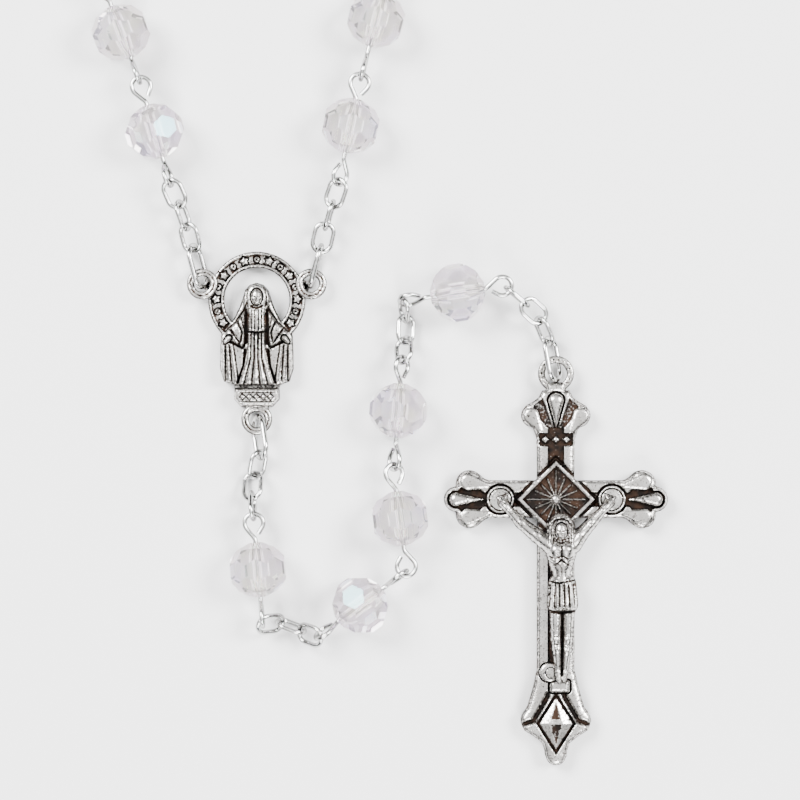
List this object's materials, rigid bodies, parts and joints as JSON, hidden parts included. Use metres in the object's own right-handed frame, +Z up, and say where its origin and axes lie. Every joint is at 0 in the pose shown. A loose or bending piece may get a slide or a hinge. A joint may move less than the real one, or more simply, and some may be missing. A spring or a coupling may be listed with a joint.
{
  "type": "rosary",
  "caption": "Crystal-bead rosary: jointed loop of faceted beads on eye pins and links, medal centrepiece, pendant chain and three-lobed crucifix.",
  "frame": {"origin": "On the flat back of the centrepiece, at the middle of the standing figure, on the surface the rosary lies on.", "axes": "+Y from the figure's feet to its head, along the rosary's length; +X to the right seen from the front; +Z up, out of the relief."},
  "size_m": [0.1728, 0.3572, 0.0068],
  "materials": {
    "casting": "antique silver, darkened in the recesses",
    "wire": "bright silver wire",
    "crystal": "faceted clear crystal, faint rainbow coat"
  },
  "bodies": {
    "centrepiece": {"centrepiece": "casting"},
    "left_connector_link_1": {"left_connector_link_1": "wire"},
    "left_connector_link_2": {"left_connector_link_2": "wire"},
    "left_connector_link_3": {"left_connector_link_3": "wire"},
    "left_connector_link_4": {"left_connector_link_4": "wire"},
    "left_eye_pin_1": {"left_eye_pin_1": "wire"},
    "left_bead_1": {"left_bead_1": "crystal"},
    "left_eye_pin_2": {"left_eye_pin_2": "wire"},
    "left_bead_2": {"left_bead_2": "crystal"},
    "left_loop_1": {"left_loop_1_wire": "wire", "left_loop_1_beads": "crystal"},
    "left_loop_2": {"left_loop_2_wire": "wire", "left_loop_2_beads": "crystal"},
    "left_loop_3": {"left_loop_3_wire": "wire", "left_loop_3_beads": "crystal"},
    "left_loop_4": {"left_loop_4_wire": "wire", "left_loop_4_beads": "crystal"},
    "right_connector_link_1": {"right_connector_link_1": "wire"},
    "right_connector_link_2": {"right_connector_link_2": "wire"},
    "right_connector_link_3": {"right_connector_link_3": "wire"},
    "right_connector_link_4": {"right_connector_link_4": "wire"},
    "right_eye_pin_1": {"right_eye_pin_1": "wire"},
    "right_bead_1": {"right_bead_1": "crystal"},
    "right_eye_pin_2": {"right_eye_pin_2": "wire"},
    "right_bead_2": {"right_bead_2": "crystal"},
    "right_loop_1": {"right_loop_1_wire": "wire", "right_loop_1_beads": "crystal"},
    "right_loop_2": {"right_loop_2_wire": "wire", "right_loop_2_beads": "crystal"},
    "right_loop_3": {"right_loop_3_wire": "wire", "right_loop_3_beads": "crystal"},
    "right_loop_4": {"right_loop_4_wire": "wire", "right_loop_4_beads": "crystal"},
    "pendant_connector_link_1": {"pendant_connector_link_1": "wire"},
    "pendant_connector_link_2": {"pendant_connector_link_2": "wire"},
    "pendant_connector_link_3": {"pendant_connector_link_3": "wire"},
    "pendant_connector_link_4": {"pendant_connector_link_4": "wire"},
    "pendant_eye_pin_1": {"pendant_eye_pin_1": "wire"},
    "pendant_bead_1": {"pendant_bead_1": "crystal"},
    "pendant_chain_link_1": {"pendant_chain_link_1": "wire"},
    "pendant_chain_link_2": {"pendant_chain_link_2": "wire"},
    "pendant_chain_link_3": {"pendant_chain_link_3": "wire"},
    "pendant_eye_pin_2": {"pendant_eye_pin_2": "wire"},
    "pendant_bead_2": {"pendant_bead_2": "crystal"},
    "pendant_eye_pin_3": {"pendant_eye_pin_3": "wire"},
    "pendant_bead_3": {"pendant_bead_3": "crystal"},
    "pendant_eye_pin_4": {"pendant_eye_pin_4": "wire"},
    "pendant_bead_4": {"pendant_bead_4": "crystal"},
    "pendant_chain_link_4": {"pendant_chain_link_4": "wire"},
    "pendant_chain_link_5": {"pendant_chain_link_5": "wire"},
    "pendant_chain_link_6": {"pendant_chain_link_6": "wire"},
    "pendant_eye_pin_5": {"pendant_eye_pin_5": "wire"},
    "pendant_bead_5": {"pendant_bead_5": "crystal"},
    "crucifix_connector_link_1": {"crucifix_connector_link_1": "wire"},
    "crucifix_connector_link_2": {"crucifix_connector_link_2": "wire"},
    "crucifix_connector_link_3": {"crucifix_connector_link_3": "wire"},
    "crucifix_connector_link_4": {"crucifix_connector_link_4": "wire"},
    "crucifix": {"crucifix_cross": "casting", "corpus": "casting"}
  },
  "joints": [
    {"name": "left_connector_link_1_hinge", "type": "hinge", "parent": "centrepiece", "child": "left_connector_link_1", "pos_m": [-0.00605, 0.0058, 0.0013], "axis": [0, 0, 1], "range_deg": [0, 20]},
    {"name": "left_connector_link_2_hinge", "type": "hinge", "parent": "left_connector_link_1", "child": "left_connector_link_2", "pos_m": [-0.00717, 0.01003, 0.0017], "axis": [-0.419, -0.2535, 0.8719], "range_deg": [-12, 12]},
    {"name": "left_connector_link_3_hinge", "type": "hinge", "parent": "left_connector_link_2", "child": "left_connector_link_3", "pos_m": [-0.00784, 0.01246, 0.00208], "axis": [-0.8249, -0.188, -0.5331], "range_deg": [-12, 12]},
    {"name": "left_connector_link_4_hinge", "type": "hinge", "parent": "left_connector_link_3", "child": "left_connector_link_4", "pos_m": [-0.00835, 0.01391, 0.00235], "axis": [0.8847, 0.2384, 0.4006], "range_deg": [-15, 15]},
    {"name": "left_eye_pin_1_hinge", "type": "hinge", "parent": "left_connector_link_4", "child": "left_eye_pin_1", "pos_m": [-0.00966, 0.01724, 0.00302], "axis": [0.9132, 0.2801, 0.296], "range_deg": [-20, 20]},
    {"name": "left_bead_1_spin", "type": "hinge", "parent": "left_eye_pin_1", "child": "left_bead_1", "pos_m": [-0.01126, 0.02265, 0.00302], "axis": [-0.284, 0.9588, 0], "continuous": true},
    {"name": "left_eye_pin_2_hinge", "type": "hinge", "parent": "left_eye_pin_1", "child": "left_eye_pin_2", "pos_m": [-0.01311, 0.02863, 0.00302], "axis": [-0.9362, -0.3498, 0.0348], "range_deg": [-25, 25]},
    {"name": "left_bead_2_spin", "type": "hinge", "parent": "left_eye_pin_2", "child": "left_bead_2", "pos_m": [-0.01498, 0.03364, 0.00302], "axis": [-0.3502, 0.9367, 0], "continuous": true},
    {"name": "left_loop_1_hinge", "type": "hinge", "parent": "left_eye_pin_2", "child": "left_loop_1", "pos_m": [-0.0173, 0.03978, 0.00302], "axis": [0.9214, 0.3629, -0.1392], "range_deg": [-20, 20]},
    {"name": "left_loop_2_hinge", "type": "hinge", "parent": "left_loop_1", "child": "left_loop_2", "pos_m": [-0.05764, 0.12602, 0.00301], "axis": [-0.8806, -0.4658, -0.0872], "range_deg": [-20, 20]},
    {"name": "left_loop_3_hinge", "type": "hinge", "parent": "left_loop_2", "child": "left_loop_3", "pos_m": [-0.08196, 0.19682, 0.00302], "axis": [0.9896, 0.1152, 0.0867], "range_deg": [-20, 20]},
    {"name": "left_loop_4_hinge", "type": "hinge", "parent": "left_loop_3", "child": "left_loop_4", "pos_m": [-0.07216, 0.26657, 0.00306], "axis": [-0.9102, 0.4048, -0.0871], "range_deg": [-20, 20]},
    {"name": "right_connector_link_1_hinge", "type": "hinge", "parent": "centrepiece", "child": "right_connector_link_1", "pos_m": [0.00605, 0.0058, 0.0013], "axis": [0, 0, 1], "range_deg": [-20, 0]},
    {"name": "right_connector_link_2_hinge", "type": "hinge", "parent": "right_connector_link_1", "child": "right_connector_link_2", "pos_m": [0.00686, 0.00884, 0.00151], "axis": [0.9643, -0.2625, 0.0347], "range_deg": [-20, 20]},
    {"name": "right_connector_link_3_hinge", "type": "hinge", "parent": "right_connector_link_2", "child": "right_connector_link_3", "pos_m": [0.0078, 0.01247, 0.00203], "axis": [0.961, -0.266, -0.0764], "range_deg": [-20, 20]},
    {"name": "right_connector_link_4_hinge", "type": "hinge", "parent": "right_connector_link_3", "child": "right_connector_link_4", "pos_m": [0.00824, 0.01394, 0.00233], "axis": [0.9479, -0.3016, 0.1026], "range_deg": [-15, 15]},
    {"name": "right_eye_pin_1_hinge", "type": "hinge", "parent": "right_connector_link_4", "child": "right_eye_pin_1", "pos_m": [0.00921, 0.01737, 0.003], "axis": [-0.8782, 0.2117, -0.4289], "range_deg": [-15, 15]},
    {"name": "right_bead_1_spin", "type": "hinge", "parent": "right_eye_pin_1", "child": "right_bead_1", "pos_m": [0.01047, 0.02329, 0.003], "axis": [0.2079, 0.9781, 0], "continuous": true},
    {"name": "right_eye_pin_2_hinge", "type": "hinge", "parent": "right_eye_pin_1", "child": "right_eye_pin_2", "pos_m": [0.01173, 0.02901, 0.003], "axis": [-0.9681, 0.2504, 0], "range_deg": [-25, 25]},
    {"name": "right_bead_2_spin", "type": "hinge", "parent": "right_eye_pin_2", "child": "right_bead_2", "pos_m": [0.0133, 0.03506, 0.003], "axis": [0.2504, 0.9681, 0], "continuous": true},
    {"name": "right_loop_1_hinge", "type": "hinge", "parent": "right_eye_pin_2", "child": "right_loop_1", "pos_m": [0.01473, 0.04054, 0.003], "axis": [0.9426, -0.2613, -0.2079], "range_deg": [-20, 20]},
    {"name": "right_loop_2_hinge", "type": "hinge", "parent": "right_loop_1", "child": "right_loop_2", "pos_m": [0.04585, 0.13051, 0.00301], "axis": [-0.9192, 0.3839, -0.0872], "range_deg": [-20, 20]},
    {"name": "right_loop_3_hinge", "type": "hinge", "parent": "right_loop_2", "child": "right_loop_3", "pos_m": [0.0775, 0.19864, 0.003], "axis": [0.945, -0.3155, 0.0862], "range_deg": [-20, 20]},
    {"name": "right_loop_4_hinge", "type": "hinge", "parent": "right_loop_3", "child": "right_loop_4", "pos_m": [0.07324, 0.26769, 0.00293], "axis": [-0.8928, -0.4419, -0.0871], "range_deg": [-20, 20]},
    {"name": "pendant_connector_link_1_hinge", "type": "hinge", "parent": "centrepiece", "child": "pendant_connector_link_1", "pos_m": [0.0002, -0.01053, 0.0013], "axis": [0.9877, 0.1564, 0], "range_deg": [-10, 30]},
    {"name": "pendant_connector_link_2_hinge", "type": "hinge", "parent": "pendant_connector_link_1", "child": "pendant_connector_link_2", "pos_m": [0.00048, -0.01228, 0.00187], "axis": [-0.8948, 0.0052, 0.4465], "range_deg": [-20, 5]},
    {"name": "pendant_connector_link_3_hinge", "type": "hinge", "parent": "pendant_connector_link_2", "child": "pendant_connector_link_3", "pos_m": [-0.00001, -0.01481, 0.00091], "axis": [-0.6338, 0.3798, -0.6738], "range_deg": [-20, 20]},
    {"name": "pendant_connector_link_4_hinge", "type": "hinge", "parent": "pendant_connector_link_3", "child": "pendant_connector_link_4", "pos_m": [-0.00043, -0.01807, 0.00194], "axis": [0.9063, 0.2523, 0.3391], "range_deg": [-25, 25]},
    {"name": "pendant_eye_pin_1_hinge", "type": "hinge", "parent": "pendant_connector_link_4", "child": "pendant_eye_pin_1", "pos_m": [-0.0003, -0.02032, 0.00294], "axis": [-0.1368, 0.0076, 0.9906], "range_deg": [-25, 5]},
    {"name": "pendant_bead_1_spin", "type": "hinge", "parent": "pendant_eye_pin_1", "child": "pendant_bead_1", "pos_m": [0.00019, -0.02589, 0.00294], "axis": [0.0872, -0.9962, 0], "continuous": true},
    {"name": "pendant_chain_link_1_hinge", "type": "hinge", "parent": "pendant_eye_pin_1", "child": "pendant_chain_link_1", "pos_m": [0.00072, -0.03201, 0.00238], "axis": [0.0475, -0.5433, 0.8382], "range_deg": [-25, 8]},
    {"name": "pendant_chain_link_2_hinge", "type": "hinge", "parent": "pendant_chain_link_1", "child": "pendant_chain_link_2", "pos_m": [0.00287, -0.03193, 0.00091], "axis": [0.276, 0.885, 0.3748], "range_deg": [-25, 25]},
    {"name": "pendant_chain_link_3_hinge", "type": "hinge", "parent": "pendant_chain_link_2", "child": "pendant_chain_link_3", "pos_m": [0.00515, -0.03295, 0.00136], "axis": [-0.5215, -0.134, 0.8427], "range_deg": [-15, 5]},
    {"name": "pendant_eye_pin_2_hinge", "type": "hinge", "parent": "pendant_chain_link_3", "child": "pendant_eye_pin_2", "pos_m": [0.00712, -0.0331, 0.00292], "axis": [0.3251, -0.9453, -0.0258], "range_deg": [-25, 25]},
    {"name": "pendant_bead_2_spin", "type": "hinge", "parent": "pendant_eye_pin_2", "child": "pendant_bead_2", "pos_m": [0.01154, -0.02983, 0.00292], "axis": [0.8039, 0.5948, 0], "continuous": true},
    {"name": "pendant_eye_pin_3_hinge", "type": "hinge", "parent": "pendant_eye_pin_2", "child": "pendant_eye_pin_3", "pos_m": [0.01668, -0.026, 0.00304], "axis": [-0.1928, 0.072, 0.9786], "range_deg": [-25, 8]},
    {"name": "pendant_bead_3_spin", "type": "hinge", "parent": "pendant_eye_pin_3", "child": "pendant_bead_3", "pos_m": [0.01591, -0.02021, 0.00304], "axis": [-0.1305, 0.9914, 0], "continuous": true},
    {"name": "pendant_eye_pin_4_hinge", "type": "hinge", "parent": "pendant_eye_pin_3", "child": "pendant_eye_pin_4", "pos_m": [0.01528, -0.01419, 0.00296], "axis": [-0.8927, 0.0541, 0.4474], "range_deg": [-25, 25]},
    {"name": "pendant_bead_4_spin", "type": "hinge", "parent": "pendant_eye_pin_4", "child": "pendant_bead_4", "pos_m": [0.01575, -0.00826, 0.00296], "axis": [0.0785, 0.9969, 0], "continuous": true},
    {"name": "pendant_chain_link_4_hinge", "type": "hinge", "parent": "pendant_eye_pin_4", "child": "pendant_chain_link_4", "pos_m": [0.01641, -0.00237, 0.00273], "axis": [-0.5904, 0.3379, 0.733], "range_deg": [-4, 15]},
    {"name": "pendant_chain_link_5_hinge", "type": "hinge", "parent": "pendant_chain_link_4", "child": "pendant_chain_link_5", "pos_m": [0.01652, -0.00019, 0.00138], "axis": [0.7198, 0.1575, 0.6761], "range_deg": [-4, 15]},
    {"name": "pendant_chain_link_6_hinge", "type": "hinge", "parent": "pendant_chain_link_5", "child": "pendant_chain_link_6", "pos_m": [0.01634, 0.00235, 0.00123], "axis": [-0.7407, -0.256, 0.6211], "range_deg": [-20, 20]},
    {"name": "pendant_eye_pin_5_hinge", "type": "hinge", "parent": "pendant_chain_link_6", "child": "pendant_eye_pin_5", "pos_m": [0.01652, 0.00393, 0.00326], "axis": [0.3522, -0.83, 0.4324], "range_deg": [-3, 20]},
    {"name": "pendant_bead_5_spin", "type": "hinge", "parent": "pendant_eye_pin_5", "child": "pendant_bead_5", "pos_m": [0.0223, 0.00479, 0.00326], "axis": [0.989, 0.1478, 0], "continuous": true},
    {"name": "crucifix_connector_link_1_hinge", "type": "hinge", "parent": "pendant_eye_pin_5", "child": "crucifix_connector_link_1", "pos_m": [0.02814, 0.00497, 0.00319], "axis": [-0.5457, -0.8343, -0.0783], "range_deg": [-25, 25]},
    {"name": "crucifix_connector_link_2_hinge", "type": "hinge", "parent": "crucifix_connector_link_1", "child": "crucifix_connector_link_2", "pos_m": [0.03007, 0.00338, 0.00247], "axis": [0.248, -0.1592, 0.9556], "range_deg": [-5, 25]},
    {"name": "crucifix_connector_link_3_hinge", "type": "hinge", "parent": "crucifix_connector_link_2", "child": "crucifix_connector_link_3", "pos_m": [0.03158, 0.00146, 0.0018], "axis": [0.8733, 0.4206, -0.2461], "range_deg": [-25, 25]},
    {"name": "crucifix_connector_link_4_hinge", "type": "hinge", "parent": "crucifix_connector_link_3", "child": "crucifix_connector_link_4", "pos_m": [0.03259, -0.0009, 0.00136], "axis": [0.5118, 0.1072, 0.8524], "range_deg": [-5, 8]},
    {"name": "crucifix_swing", "type": "hinge", "parent": "crucifix_connector_link_4", "child": "crucifix", "pos_m": [0.03326, -0.00418, 0.0013], "axis": [0, 0, 1], "range_deg": [-4, 40]}
  ]
}
